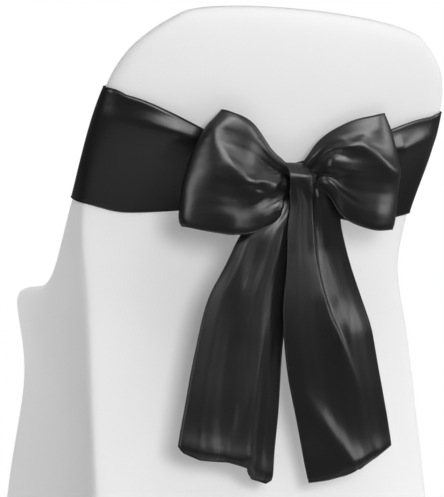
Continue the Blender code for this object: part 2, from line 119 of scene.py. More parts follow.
# The band's selvedges: the share of the way out from the middle, and the heights of both.
BandRow = namedtuple("BandRow", "share upper lower")
BAND_REAR = (
    BandRow(0.00, .603, .567),
    BandRow(0.26, .621, .556),
    BandRow(0.52, .643, .550),
    BandRow(0.84, .669, .546),
    BandRow(1.00, .678, .552),
)
BAND_FRONT = BandRow(1.00, .690, .566)
BAND_STAND_OFF = 0.0021     # from the cover to the middle of the band's cloth
BAND_STEPS = 12             # steps between two rows of the selvedges
BAND_ALONG = 40             # columns from the middle of the chair's back to its side
BAND_ACROSS = 32
END_STEPS = 24              # columns around a side of the chair's back
END_RADIUS = 0.022          # how far within the cover's side the band turns
SIDE_PROBE = 0.190          # x at which the depth of the chair's back is taken
RAY = 0.5                   # how far off a ray starts

SATIN = 0.0007          # thickness of the satin as it is seen
ROLL = 0.0009           # radius of the sash's rolled edge
SASH_WIDTH = 0.16

# A section runs across a ribbon from a to b. Its middle is pushed out metres in +Y and side metres
# away from the knot, and its gathers are pleat metres deep.
Section = namedtuple("Section", "name ax ay az bx by bz out side pleat")
LOOP_LEFT = (
    Section("knot",     -.014, .212, .601, -.014, .196, .571,  .000, .000, .002),
    Section("throat",    .022, .226, .619,  .019, .222, .541,  .006, .002, .004),
    Section("face",      .060, .244, .650,  .063, .236, .521,  .010, .006, .001),
    Section("cheek",     .090, .248, .661,  .109, .238, .523,  .008, .015, .001),
    Section("fold",      .100, .240, .664,  .139, .226, .528,  .002, .022, .000),
    Section("return",    .088, .230, .659,  .122, .214, .528, -.004, .014, .000),
    Section("back",      .052, .220, .638,  .066, .198, .541, -.004, .010, .001),
    Section("root",     -.014, .204, .600, -.014, .190, .573,  .000, .000, .002),
)
LOOP_RIGHT = (
    Section("knot",     -.026, .212, .601, -.026, .196, .571,  .000, .000, .002),
    Section("throat",   -.046, .226, .636, -.053, .222, .576,  .006, .002, .003),
    Section("face",     -.080, .238, .660, -.079, .232, .541,  .012, .002, .001),
    Section("cheek",    -.114, .244, .670, -.117, .230, .530,  .010, .010, .001),
    Section("fold",     -.132, .240, .674, -.147, .220, .531,  .004, .017, .000),
    Section("return",   -.118, .234, .666, -.133, .204, .534, -.004, .012, .000),
    Section("back",     -.076, .225, .645, -.083, .190, .545, -.004, .004, .001),
    Section("root",     -.026, .204, .600, -.026, .190, .573,  .000, .000, .002),
)
TAIL_LEFT = (
    Section("knot",     -.008, .211, .582, -.026, .208, .582,  .000, .000, .001),
    Section("neck",      .026, .218, .548, -.026, .214, .548,  .002, .000, .002),
    Section("flare",     .062, .222, .518, -.018, .216, .518,  .004, .000, .001),
    Section("upper",     .085, .223, .478, -.010, .213, .478,  .006, .000, .002),
    Section("middle",    .112, .227, .432, -.003, .214, .432,  .006, .000, .002),
    Section("lower",     .132, .233, .366,  .007, .218, .360,  .006, .000, .003),
    Section("skirt",     .145, .238, .313,  .014, .222, .290,  .006, .000, .004),
    Section("hem",       .156, .240, .263,  .027, .228, .214,  .004, .000, .004),
)
TAIL_RIGHT = (
    Section("behind",   -.002, .196, .596, -.038, .196, .596,  .000, .000, .000),
    Section("crest",    -.001, .208, .6085, -.039, .208, .6085, .001, .000, .000),
    Section("brow",     -.001, .220, .602, -.039, .220, .602,  .002, .000, .000),
    Section("front",    -.002, .226, .588, -.039, .226, .588,  .002, .000, .000),
    Section("chin",     -.003, .224, .572, -.050, .224, .574,  .003, .000, .001),
    Section("neck",     -.004, .223, .552, -.072, .224, .560,  .001, .000, .001),
    Section("hip",       .000, .224, .522, -.077, .224, .526,  .000, .000, .001),
    Section("upper",     .002, .226, .478, -.090, .224, .480,  .000, .000, .001),
    Section("middle",    .009, .229, .420, -.111, .225, .420,  .002, .000, .001),
    Section("lower",     .003, .228, .350, -.129, .226, .352,  .008, .000, .001),
    Section("skirt",    -.012, .226, .280, -.144, .226, .282,  .006, .000, .001),
    Section("hem",      -.028, .224, .207, -.147, .226, .247,  .004, .000, .001),
)
# hand is the side of the bow, across the number of columns, and gathers how many a ribbon has.
Ribbon = namedtuple("Ribbon", "name sections hand across gathers")
RIBBONS = (
    Ribbon("sash_loop_left", LOOP_LEFT, 1, 72, 2.5),
    Ribbon("sash_loop_right", LOOP_RIGHT, -1, 72, 2.5),
    Ribbon("sash_tail_left", TAIL_LEFT, 1, 64, 2.0),
    Ribbon("sash_tail_right", TAIL_RIGHT, -1, 64, 2.0),
)
RIBBON_STEPS = 9        # steps between two sections
CREASE = 0.09           # fine creases beside the gathers: their share of the gathers' depth,
CREASES = 3.7           # how many there are to a gather
CREASE_PHASE = 1.0      # and where they start

FOLD_STEPS = 6          # steps between two points of a fold's line
FOLD_FALL = 1.3         # how a fold's sides are hollowed: 1 is a peak and 2 is a bell
FOLD_FACING = 0.4       # y of the sheet's normal from which a fold has its whole height

# A fold runs along a line of (x, z) points. Its crest stands start, middle and end proud of the
# sheet along the line, and is rounded by crest. It falls off over left metres on the left of the
# line's way and right metres on the right of it, as seen from behind the chair.
Fold = namedtuple("Fold", "name start middle end left right crest points")
FOLDS = {
    "sash_band": (
        Fold("facet_left", .006, .029, .026, .021, .040, .0030,
             ((.236, .652), (.208, .647), (.189, .642), (.156, .634), (.121, .625), (.080, .610))),
        Fold("facet_right", .020, .033, .003, .021, .040, .0030,
             ((-.100, .610), (-.160, .628), (-.182, .635), (-.208, .644), (-.236, .656))),
    ),
    "sash_loop_right": (
        Fold("crest", .003, .007, .005, .012, .012, .0012,
             ((-.046, .628), (-.065, .637), (-.081, .631), (-.095, .628), (-.125, .608),
              (-.145, .600))),
        Fold("pleat", .003, .005, .000, .003, .018, .0012,
             ((-.031, .610), (-.047, .623), (-.064, .628), (-.081, .626), (-.089, .621))),
        Fold("throat", .003, .008, .003, .022, .009, .0012,
             ((-.073, .627), (-.060, .615), (-.052, .596), (-.054, .586), (-.060, .581))),
        Fold("lip", .009, .011, .006, .004, .028, .0030,
             ((-.156, .533), (-.117, .530), (-.091, .537), (-.076, .542))),
    ),
    "sash_loop_left": (
        Fold("crest", .003, .007, .008, .012, .020, .0009,
             ((.114, .641), (.112, .624), (.098, .600), (.083, .586), (.068, .576))),
        Fold("brow", .001, .002, .001, .006, .010, .0020,
             ((.113, .639), (.103, .649), (.085, .652), (.055, .637), (.031, .612))),
        Fold("nip", .004, .005, .002, .004, .004, .0006,
             ((.069, .578), (.057, .581), (.041, .581))),
        Fold("leaf", .002, .012, .007, .009, .003, .0006,
             ((.062, .556), (.051, .565), (.040, .573), (.021, .583))),
        Fold("edge", .004, .010, .004, .003, .018, .0008,
             ((.003, .583), (.003, .571), (.016, .555), (.021, .542), (.035, .533))),
        Fold("cheek", .001, .006, .006, .016, .026, .0030,
             ((.114, .600), (.109, .572), (.101, .545), (.092, .528))),
        Fold("lip", .010, .010, .004, .022, .004, .0030,
             ((.143, .534), (.126, .525), (.098, .522), (.066, .521), (.045, .528))),
    ),
    "sash_tail_left": (
        Fold("stripe", .002, .004, .000, .014, .014, .0030,
             ((.054, .514), (.065, .482), (.069, .436), (.074, .381))),
        Fold("pleat", .001, .003, .006, .020, .009, .0020,
             ((.002, .491), (.007, .461), (.021, .431), (.049, .347), (.066, .289), (.073, .238))),
        Fold("ripple", .000, .002, .005, .011, .011, .0030,
             ((.088, .348), (.101, .302), (.109, .249))),
        Fold("flare", .005, .009, .005, .018, .004, .0030,
             ((.155, .263), (.130, .253), (.098, .247), (.077, .242))),
        Fold("curl", .004, .008, .005, .016, .004, .0030,
             ((.060, .227), (.037, .218), (.026, .219))),
    ),
    "sash_tail_right": (
        Fold("knuckle", .002, .003, .002, .005, .007, .0008,
             ((-.002, .592), (-.020, .590), (-.038, .592))),
        Fold("fold", .004, .008, .000, .003, .022, .0010,
             ((-.032, .576), (-.036, .523), (-.042, .464), (-.056, .409), (-.090, .336),
              (-.104, .315))),
        Fold("drape", .001, .010, .014, .015, .032, .0030,
             ((-.010, .331), (-.025, .305), (-.046, .276), (-.069, .248), (-.086, .226))),
        Fold("swell", .003, .007, .005, .026, .030, .0060,
             ((-.056, .408), (-.078, .398), (-.110, .398))),
        Fold("hollow", -.005, -.010, -.002, .009, .026, .0040,
             ((-.046, .560), (-.054, .520), (-.061, .480), (-.068, .440))),
        Fold("flare", .004, .007, .005, .016, .004, .0030,
             ((-.103, .232), (-.122, .238), (-.145, .246))),
        Fold("corner", .004, .006, .002, .016, .004, .0030,
             ((-.026, .208), (-.052, .213), (-.080, .222))),
    ),
}

TAIL_HEM_SHARE = 0.08   # share of a tail's length over which its hem's drop comes in
# How far a tail's hem hangs below a straight line, at shares of the way across it.
TAIL_HEMS = {
    "sash_tail_left": ((0.0, 0.0), (.04, .005), (.19, .007), (.37, .002), (.52, -.003),
                       (.67, -.003), (.70, .004), (.76, .008), (.95, .007), (1.0, .001)),
    "sash_tail_right": ((0.0, 0.0), (.20, .005), (.39, .008), (.54, .007), (.57, .009), (.78, .007),
                        (.91, .003), (1.0, 0.0)),
}

# -------------------------------- sizes of the stage
WHITE = (1.0, 1.0, 1.0, 1.0)
CAMERA_SENSOR = 36.0
CAMERA_LENS = 87.04
CAMERA_SHIFT = 0.0777
CAMERA_PLACE = (0.7109, 1.5736, 0.4516)
CAMERA_AZIMUTH = 25.08      # degrees from +Y towards +X at which the level camera stands
SKY_RIGHT = 0.17            # strength of the sky's light on the -X side
SKY_LEFT = 0.27             # and on the +X side
SKY_GLEAM = 0.16            # strength of the sky in the satin's gloss
SKY_SEEN = 1.0              # and behind the chair
FLOOR_CORNERS = 64
BOW = (0.0, 0.2, 0.5)       # where most of the softboxes point

# A softbox lights matt cloth, gleams in the satin's gloss, or does both.
Softbox = namedtuple("Softbox", "name place target size power lights gleams shadow")
SOFTBOXES = (
    Softbox("Key", (0.38, 1.76, 0.68), BOW, (0.50, 0.40), 10.8, True, False, True),
    Softbox("Front", (-1.0, 1.75, 0.10), BOW, (0.5, 0.5), 11, True, False, False),
    Softbox("Side", (0.80, -0.52, 0.86), (0.2, -0.1, 0.42), (0.5, 0.5), 4.2, True, False, True),
    Softbox("Fill", (-1.40, 0.62, 0.95), BOW, (0.8, 0.9), 3.4, True, False, True),
    Softbox("Bank", (-0.42, 1.38, 1.38), (0.0, 0.2, 0.55), (1.2, 0.5), 30, False, True, True),
    Softbox("Right", (-1.28, 0.85, 0.90), BOW, (0.25, 0.8), 8, False, True, True),
    Softbox("Left", (1.10, 1.15, 0.70), BOW, (0.3, 0.9), 8, False, True, True),
    Softbox("Top", (0.1, 0.95, 1.75), (0.0, 0.2, 0.6), (1.0, 0.5), 3, True, True, True),
)


# -------------------------------- meshes
def add_object(name, data):
    """A new object in the scene."""
    made = bpy.data.objects.new(name, data)
    bpy.context.scene.collection.objects.link(made)
    return made


def mesh_object(name, points, faces, material, uvs=None, normals=None):
    """An object from points and faces, with a uv and a normal for each point."""
    mesh = bpy.data.meshes.new(name)
    mesh.from_pydata([tuple(p) for p in points], [], [tuple(f) for f in faces])
    mesh.shade_smooth()
    if uvs is not None:
        layer = mesh.uv_layers.new(name="UVMap")
        corners = np.zeros(len(mesh.loops), np.int32)
        mesh.loops.foreach_get("vertex_index", corners)
        layer.data.foreach_set("uv", np.asarray(uvs, np.float32)[corners].ravel())
    if normals is not None:
        mesh.normals_split_custom_set_from_vertices([tuple(n) for n in normals])
    mesh.materials.append(material)
    return add_object(name, mesh)


def face_outwards(made):
    """Turn an object's faces so that their normals point outwards."""
    shape = bmesh.new()
    shape.from_mesh(made.data)
    bmesh.ops.recalc_face_normals(shape, faces=shape.faces)
    shape.to_mesh(made.data)
    shape.free()


def unit(vectors):
    """Vectors scaled to length 1."""
    length = np.linalg.norm(vectors, axis=-1, keepdims=True)
    return vectors / np.maximum(length, 1e-9)


def full_turn(count):
    """Angles at equal steps around a circle."""
    return np.arange(count) * 2 * math.pi / count


def lengths_along(steps):
    """Distance of each point of a line from its start, from the lengths of its steps."""
    return np.concatenate(([0.0], np.cumsum(steps)))


def tube(path, radius, sides, closed=False):
    """Points and faces of a round tube along a path."""
    path = np.asarray(path, float)
    count = len(path)
    if closed:
        along = np.roll(path, -1, 0) - np.roll(path, 1, 0)
    else:
        along = np.gradient(path, axis=0)
    along = unit(along)
    reference = np.where(np.abs(along[:, 2:3]) > 0.9, (1.0, 0.0, 0.0), (0.0, 0.0, 1.0))
    first = unit(np.cross(along, reference))
    second = np.cross(along, first)
    turn = full_turn(sides)[None, :, None]
    ring = first[:, None] * np.cos(turn) + second[:, None] * np.sin(turn)
    points = (path[:, None] + radius * ring).reshape(-1, 3)
    faces = []
    for i in range(count if closed else count - 1):
        j = (i + 1) % count
        for k in range(sides):
            m = (k + 1) % sides
            faces.append((i * sides + k, i * sides + m, j * sides + m, j * sides + k))
    if not closed:
        faces.append(tuple(range(sides)))
        faces.append(tuple(reversed(range((count - 1) * sides, count * sides))))
    return points, faces


def tubes(paths, radius, sides):
    """Points and faces of round tubes along paths, each given as (path, closed)."""
    points = []
    faces = []
    for path, closed in paths:
        ring, quads = tube(path, radius, sides, closed)
        faces += [tuple(i + len(points) for i in face) for face in quads]
        points += list(ring)
    return points, faces


def upright_uvs(points):
    """Texture places for parts that run around the cover."""
    return [(p[0] + p[1], p[2]) for p in points]


def grid_faces(rows, columns, closed=False):
    """Quads over a grid of points."""
    faces = []
    for i in range(rows if closed else rows - 1):
        j = (i + 1) % rows
        for k in range(columns - 1):
            a = i * columns + k
            b = j * columns + k
            faces.append((a, a + 1, b + 1, b))
    return faces


# -------------------------------- materials
def principled(name, colour, roughness):
    """A Principled material and its node tree."""
    material = bpy.data.materials.new(name)
    material.use_nodes = True
    tree = material.node_tree
    shader = tree.nodes["Principled BSDF"]
    shader.inputs["Base Color"].default_value = (*colour, 1.0)
    shader.inputs["Roughness"].default_value = roughness
    return material, tree, shader


def node(tree, kind, inputs=None, **settings):
    """A shader node with its properties and its unlinked inputs set."""
    made = tree.nodes.new("ShaderNode" + kind)
    for key, value in settings.items():
        setattr(made, key, value)
    for key, value in (inputs or {}).items():
        made.inputs[key].default_value = value
    return made


def link(tree, source, output, target, key):
    """Link an output of one node to an input of another."""
    tree.links.new(source.outputs[output], target.inputs[key])


def knit_material():
    """White matte stretch knit: fine upright wales with short stitches across them."""
    material, tree, shader = principled("stretch_cloth", (0.86, 0.86, 0.86), 0.8)
    shader.inputs["Sheen Weight"].default_value = 0.15
    shader.inputs["Sheen Roughness"].default_value = 0.5
    shader.inputs["Specular IOR Level"].default_value = 0.25
    place = node(tree, "UVMap", uv_map="UVMap")
    wales = node(tree, "TexWave", {"Scale": 180.0, "Distortion": 0.4, "Detail": 1.0},
                 wave_type="BANDS", bands_direction="X")
    courses = node(tree, "TexWave", {"Scale": 240.0, "Distortion": 0.6, "Detail": 1.0},
                   wave_type="BANDS", bands_direction="Y")
    both = node(tree, "Math", operation="MULTIPLY")
    bump = node(tree, "Bump", {"Strength": 0.25, "Distance": 0.0003})
    for wave in (wales, courses):
        link(tree, place, "UV", wave, "Vector")
    link(tree, wales, "Fac", both, 0)
    link(tree, courses, "Fac", both, 1)
    link(tree, both, "Value", bump, "Height")
    link(tree, bump, "Normal", shader, "Normal")
    cloud = node(tree, "TexNoise", {"Scale": 6.0, "Detail": 4.0})
    shade = node(tree, "ValToRGB")
    shade.color_ramp.elements[0].color = (0.83, 0.83, 0.835, 1.0)
    shade.color_ramp.elements[1].color = (0.88, 0.88, 0.88, 1.0)
    link(tree, place, "UV", cloud, "Vector")
    link(tree, cloud, "Fac", shade, "Fac")
    link(tree, shade, "Color", shader, "Base Color")
    return material


def satin_material():
    """Black satin: long floats along the ribbon, with slight slubs in the gloss."""
    material, tree, shader = principled("black_satin", (0.006, 0.006, 0.0065), 0.32)
    shader.inputs["Specular IOR Level"].default_value = 0.35
    place = node(tree, "UVMap", uv_map="UVMap")
    stretch = node(tree, "Mapping", {"Scale": (60.0, 900.0, 1.0)})
    slub = node(tree, "TexNoise", {"Scale": 1.0, "Detail": 3.0})
    gloss = node(tree, "MapRange",
                 {"From Min": 0.3, "From Max": 0.7, "To Min": 0.28, "To Max": 0.38})
    threads = node(tree, "TexWave", {"Scale": 420.0, "Distortion": 1.0, "Detail": 1.0},
                   wave_type="BANDS", bands_direction="Y")
    bump = node(tree, "Bump", {"Strength": 0.12, "Distance": 0.0002})
    link(tree, place, "UV", stretch, "Vector")
    link(tree, stretch, "Vector", slub, "Vector")
    link(tree, slub, "Fac", gloss, "Value")
    link(tree, gloss, "Result", shader, "Roughness")
    link(tree, place, "UV", threads, "Vector")
    link(tree, threads, "Fac", bump, "Height")
    long = node(tree, "Mapping", {"Scale": (9.0, 110.0, 1.0)})
    creases = node(tree, "TexNoise", {"Scale": 1.0, "Detail": 2.0})
    rumple = node(tree, "Bump", {"Strength": 0.3, "Distance": 0.0007})
    link(tree, place, "UV", long, "Vector")
    link(tree, long, "Vector", creases, "Vector")
    link(tree, creases, "Fac", rumple, "Height")
    link(tree, bump, "Normal", rumple, "Normal")
    link(tree, rumple, "Normal", shader, "Normal")
    return material


# -------------------------------- the cover
def panel_row(width, edge, middle, hem):
    """Points of a front or rear panel from its middle to its +X edge, both given as (y, z)."""
    reach = width - HEEL_STEP if hem else width
    row = []
    for x in (0.0, MIDWAY_SHARE * width, width - HEEL_STEP, width - CORNER_STEP, width):
        crown = max(0.0, 1.0 - (x / reach) ** 2)
        y = edge[0] + (middle[0] - edge[0]) * crown
        z = edge[1] + (middle[1] - edge[1]) * crown
        row.append(Vector((x, y, z)))
    return row


def side_row(front_edge, rear_edge, down, draw, arch, hem):
    """Points of the +X side panel between its two edges, without those edges."""
    depth = (rear_edge - front_edge).length
    corner = min(CORNER_STEP, CORNER_SHARE * depth)
    heel = min(HEEL_STEP, HEEL_SHARE * depth)
    reach = depth / 2 - heel if hem else depth / 2
    leave = Vector((0.0, math.cos(math.radians(down)), -math.sin(math.radians(down)))) * depth
    arrive = Vector((0.0, depth, 0.0))
    row = []
    for distance in (corner, heel, depth / 2, depth - heel, depth - corner):
        t = distance / depth
        hermite = (
            front_edge * (2 * t**3 - 3 * t**2 + 1)
            + leave * (t**3 - 2 * t**2 + t)
            + rear_edge * (3 * t**2 - 2 * t**3)
            + arrive * (t**3 - t**2)
        )
        crown = max(0.0, 1.0 - ((distance - depth / 2) / reach) ** 2)
        row.append(hermite + Vector((-draw * crown, 0.0, arch * crown)))
    return row


def ring_points(ring):
    """All points of one ring, from the middle of the front round by +X and back by -X."""
    hem = ring.name == "hem"
    front = panel_row(ring.wf, (ring.yf, ring.zf), (ring.ymf, ring.zmf), hem)
    rear = panel_row(ring.wr, (ring.yr, ring.zr), (ring.ymr, ring.zmr), hem)
    half = front + side_row(front[-1], rear[-1], ring.down, ring.draw, ring.arch, hem) + rear[::-1]
    mirrored = [Vector((-p.x, p.y, p.z)) for p in half[-2:0:-1]]
    return half + mirrored


def panel_at(column, around):
    """Index of the panel that holds the face after this column."""
    if column < EDGE_COLUMN or column >= around - EDGE_COLUMN:
        return PANELS.index("front_panel")
    if column < REAR_COLUMN:
        return PANELS.index("side_panel_left")
    if column < around - REAR_COLUMN:
        return PANELS.index("back_panel")
    return PANELS.index("side_panel_right")


def cover_cage():
    """The cover's coarse cage: rings joined by quads, closed along a seam over the top."""
    cage = bmesh.new()
    rows = [[cage.verts.new(point) for point in ring_points(ring)] for ring in RINGS]
    around = len(rows[0])
    half = around // 2

    def add_face(corners, panel):
        cage.faces.new(corners).material_index = panel

    for lower, upper in zip(rows, rows[1:]):
        for i in range(around):
            j = (i + 1) % around
            add_face((lower[i], lower[j], upper[j], upper[i]), panel_at(i, around))

    brim = rows[-1]
    front = PANELS.index("front_panel")
    back = PANELS.index("back_panel")
    columns = [i % around for i in range(EDGE_COLUMN, -EDGE_COLUMN - 1, -1)]
    crown = []
    for i in columns:
        seam = (brim[i].co + brim[(half - i) % around].co) / 2
        end = i in (EDGE_COLUMN, around - EDGE_COLUMN)
        seam.z += CROWN_RISE / 2 if end else CROWN_RISE
        crown.append(cage.verts.new(seam))
    for k in range(len(columns) - 1):
        a = columns[k]
        b = columns[k + 1]
        opposite = [brim[(half - i) % around] for i in (a, b)]
        add_face((brim[b], brim[a], crown[k], crown[k + 1]), front)
        add_face((crown[k + 1], crown[k], *opposite), back)

    front_arc = range(EDGE_COLUMN, SIDE_COLUMN + 1)
    rear_arc = range(SIDE_COLUMN, REAR_COLUMN + 1)
    add_face([brim[i] for i in front_arc] + [crown[0]], front)
    add_face([brim[i] for i in rear_arc] + [crown[0]], back)
    add_face([brim[around - i] for i in front_arc[::-1]] + [crown[-1]], front)
    add_face([brim[around - i] for i in rear_arc[::-1]] + [crown[-1]], back)
    bmesh.ops.recalc_face_normals(cage, faces=cage.faces)
    return cage


def cover_skin():
    """The cover's outer surface, subdivided, with each face's panel in its material index."""
    mesh = bpy.data.meshes.new("cover_cage")
    shape = cover_cage()
    shape.to_mesh(mesh)
    shape.free()
    cage = add_object("cover_cage", mesh)
    subdivision = cage.modifiers.new("Subdivision", "SUBSURF")
    subdivision.levels = SUBDIVISION
    subdivision.render_levels = SUBDIVISION
    skin = bmesh.new()
    skin.from_object(cage, bpy.context.evaluated_depsgraph_get())
    bpy.data.objects.remove(cage)
    bmesh.ops.translate(skin, vec=(0.0, CENTRING, 0.0), verts=skin.verts)
    skin.verts.index_update()
    skin.normal_update()
    return skin


def seam_shift(vertex, panel):
    """The way from a seam into the panel, by half the seam's gap; nothing away from a seam."""
    inwards = Vector((0.0, 0.0, 0.0))
    for edge in vertex.link_edges:
        own = [face for face in edge.link_faces if face.material_index == panel]
        if len(own) != 1 or len(edge.link_faces) == 1:
            continue
        along = edge.verts[1].co - edge.verts[0].co
        across = own[0].normal.cross(along).normalized()
        towards = own[0].calc_center_median() - edge.verts[0].co
        inwards += across if across.dot(towards) > 0 else -across
    if inwards.length == 0:
        return inwards
    return inwards.normalized() * (0.5 * SEAM_GAP)


def panel_object(skin, panel, material):
    """One panel as thin closed cloth: outer faces, the same faces a thickness in, and rims."""
    name = PANELS[panel]
    faces = [face for face in skin.faces if face.material_index == panel]
    used = [v for v in skin.verts if any(f.material_index == panel for f in v.link_faces)]
    number = {v: i for i, v in enumerate(used)}
    count = len(used)
    normals = [v.normal.copy() for v in used]
    outer = [v.co + seam_shift(v, panel) for v in used]
    inner = [place - normal * CLOTH for place, normal in zip(outer, normals)]
    polygons = []
    for face in faces:
        corners = [number[v] for v in face.verts]
        polygons.append(corners)
        polygons.append([i + count for i in reversed(corners)])
        for loop in face.loops:
            if sum(f.material_index == panel for f in loop.edge.link_faces) == 1:
                a = number[loop.vert]
                b = number[loop.link_loop_next.vert]
                polygons.append((b, a, a + count, b + count))
    side = name.startswith("side")
    uvs = [(p.y if side else p.x, p.z + (p.y if name == "front_panel" else 0.0)) for p in outer]
    return mesh_object("cover_" + name, outer + inner, polygons, material, uvs * 2,
                       normals + [-n for n in normals])


def edge_chains(edges):
    """Edges sorted into chains of vertices; returns (vertices, closed) for each."""
    links = {}
    for edge in edges:
        a, b = edge.verts
        links.setdefault(a, []).append(b)
        links.setdefault(b, []).append(a)
    ends = sorted((v for v in links if len(links[v]) != 2), key=lambda v: v.index)
    seen = set()
    chains = []

    def walk(start, following):
        chain = [start]
        previous, current = start, following
        while True:
            seen.add(frozenset((previous.index, current.index)))
            chain.append(current)
            if len(links[current]) != 2 or current == start:
                return chain
            others = [v for v in links[current] if v != previous]
            previous, current = current, others[0]

    for end in ends:
        for other in sorted(links[end], key=lambda v: v.index):
            if frozenset((end.index, other.index)) not in seen:
                chains.append((walk(end, other), False))
    for start in sorted(links, key=lambda v: v.index):
        if all(frozenset((start.index, v.index)) not in seen for v in links[start]):
            chains.append((walk(start, links[start][0])[:-1], True))
    return chains


def build_seams(skin, material):
    """The sewn ridges that fill the seams between the panels."""
    sewn = [e for e in skin.edges
            if len(e.link_faces) == 2 and len({f.material_index for f in e.link_faces}) == 2]
    paths = [([v.co - v.normal * SEAM_CORD for v in chain], closed)
             for chain, closed in edge_chains(sewn)]
    points, faces = tubes(paths, SEAM_CORD, CORD_SIDES)
    return mesh_object("cover_seams", points, faces, material, upright_uvs(points))


def build_hem(skin, material):
    """The turned-up fold along the lower edge, with its row of stitches."""
    free = [e for e in skin.edges if len(e.link_faces) == 1]
    chain, _ = edge_chains(free)[0]
    rows = []
    stitch_path = []
    for vertex in chain:
        free_ends = {e.other_vert(vertex) for e in vertex.link_edges if len(e.link_faces) == 1}
        neighbours = [e.other_vert(vertex) for e in vertex.link_edges]
        above = [v for v in neighbours if v not in free_ends]
        up = sum((v.co - vertex.co for v in above), Vector()).normalized()
        rows.append([vertex.co + up * (HEM_DEPTH * height - HEM_DROP) + vertex.normal * out
                     for height, out in HEM_PROFILE])
        stitch = vertex.co + up * HEM_DEPTH * STITCH_HEIGHT + vertex.normal * HEM_SWELL
        stitch_path.append((stitch, vertex.normal))
    count = len(HEM_PROFILE)
    points = [p for row in rows for p in row]
    faces = grid_faces(len(rows), count, closed=True)
    for i in range(len(rows)):
        j = (i + 1) % len(rows)
        faces.append((i * count + count - 1, i * count, j * count, j * count + count - 1))
    hem = mesh_object("cover_hem", points, faces, material, upright_uvs(points))
    face_outwards(hem)
    return hem, build_stitches("cover_hem_stitches", stitch_path, material)


def build_stitches(name, path, material):
    """A row of short thread stitches that lie on a closed path of (point, normal)."""
    places = np.array([tuple(p) for p, _ in path + path[:1]])
    normals = np.array([tuple(n) for _, n in path + path[:1]])
    along = lengths_along(np.linalg.norm(np.diff(places, axis=0), axis=1))
    total = along[-1]
    count = int(total / (STITCH_LENGTH + STITCH_GAP))
    lifts = np.array(STITCH_LIFT)[:, None] * STITCH_RADIUS
    lines = []
    for k in range(count):
        at = (k + STITCH_START) * total / count + np.array(STITCH_COURSE) * STITCH_LENGTH
        line, up = (np.stack([np.interp(at, along, values[:, c]) for c in range(3)], 1)
                    for values in (places, normals))
        lines.append((line + unit(up) * lifts, False))
    points, faces = tubes(lines, STITCH_RADIUS, STITCH_SIDES)
    return mesh_object(name, points, faces, material, upright_uvs(points))


def build_pocket(name, side, edge, towards, rake, material):
    """A tapered cup under a corner of the hem; towards is +1 where the cover has greater y."""
    rim = RINGS[0].zf - POCKET_GAP
    half = POCKET_WIDTH / 2
    centre = np.array((side * (edge[0] - half), edge[1] + towards * half + CENTRING))
    turn = full_turn(POCKET_SIDES)
    circle = np.stack((np.cos(turn), np.sin(turn)), 1)
    powers = np.abs(circle) ** (1 / POCKET_CORNER)
    outline = circle * powers.sum(1, keepdims=True) ** -POCKET_CORNER
    rows = []
    for height, width in POCKET_LEVELS:
        middle = centre.copy()
        middle[1] -= towards * rake * (1 - height)
        flat = middle + outline * half * width
        level = max(rim * height, POCKET_FLOOR)
        rows.append(np.column_stack((flat, np.full(POCKET_SIDES, level))))
    points = np.vstack(rows)
    faces = []
    for i in range(0, len(points) - POCKET_SIDES, POCKET_SIDES):
        j = i + POCKET_SIDES
        for k in range(POCKET_SIDES):
            m = (k + 1) % POCKET_SIDES
            faces.append((i + k, j + k, j + m, i + m))
    faces.append(tuple(range(len(points) - POCKET_SIDES, len(points))))
    pocket = mesh_object("cover_" + name, points, faces, material, upright_uvs(points))
    face_outwards(pocket)
    wall = pocket.modifiers.new("Solidify", "SOLIDIFY")
    wall.thickness = POCKET_WALL
    wall.offset = -1.0
    return pocket


# -------------------------------- the sash
def catmull_rows(values, steps):
    """Catmull-Rom interpolation through rows of numbers."""
    values = np.asarray(values, float)
    last = len(values) - 1
    rows = []
    for step in range(last * steps + 1):
        k = min(step // steps, last - 1)
        t = step / steps - k
        p0, p1, p2, p3 = (values[min(max(k + offset, 0), last)] for offset in (-1, 0, 1, 2))
        rows.append((2 * p1 + (p2 - p0) * t + (2 * p0 - 5 * p1 + 4 * p2 - p3) * t * t
                     + (3 * p1 - p0 - 3 * p2 + p3) * t**3) / 2)
    return np.array(rows)


def ribbon_surface(ribbon):
    """Points of a ribbon as an array of rows along it and columns across it."""
    values = catmull_rows([section[1:] for section in ribbon.sections], RIBBON_STEPS)
    a = values[:, None, 0:3]
    b = values[:, None, 3:6]
    out, side, pleat = (values[:, None, k] for k in (6, 7, 8))
    v = np.linspace(0.0, 1.0, ribbon.across + 1)[None, :]
    crown = 4 * v * (1 - v)
    turns = 2 * math.pi * ribbon.gathers * v
    fold = pleat * (np.sin(turns) + CREASE * np.sin(CREASES * turns + CREASE_PHASE))
    points = a + (b - a) * v[..., None]
    points[..., 0] += ribbon.hand * side * crown
    points[..., 1] += out * crown + fold + CENTRING
    return points


def smoothstep(t):
    """Smooth ramp from 0 to 1."""
    t = np.clip(t, 0.0, 1.0)
    return t * t * (3 - 2 * t)


def grid_normals(points):
    """Normals of a grid of points, towards +Y where the sheet lies behind the chair."""
    along = np.gradient(points, axis=0)
    across = np.gradient(points, axis=1)
    normals = unit(np.cross(along, across))
    middle = normals[: max(len(points) // 2, 2), :, 1].mean()
    return normals if middle > 0 else -normals


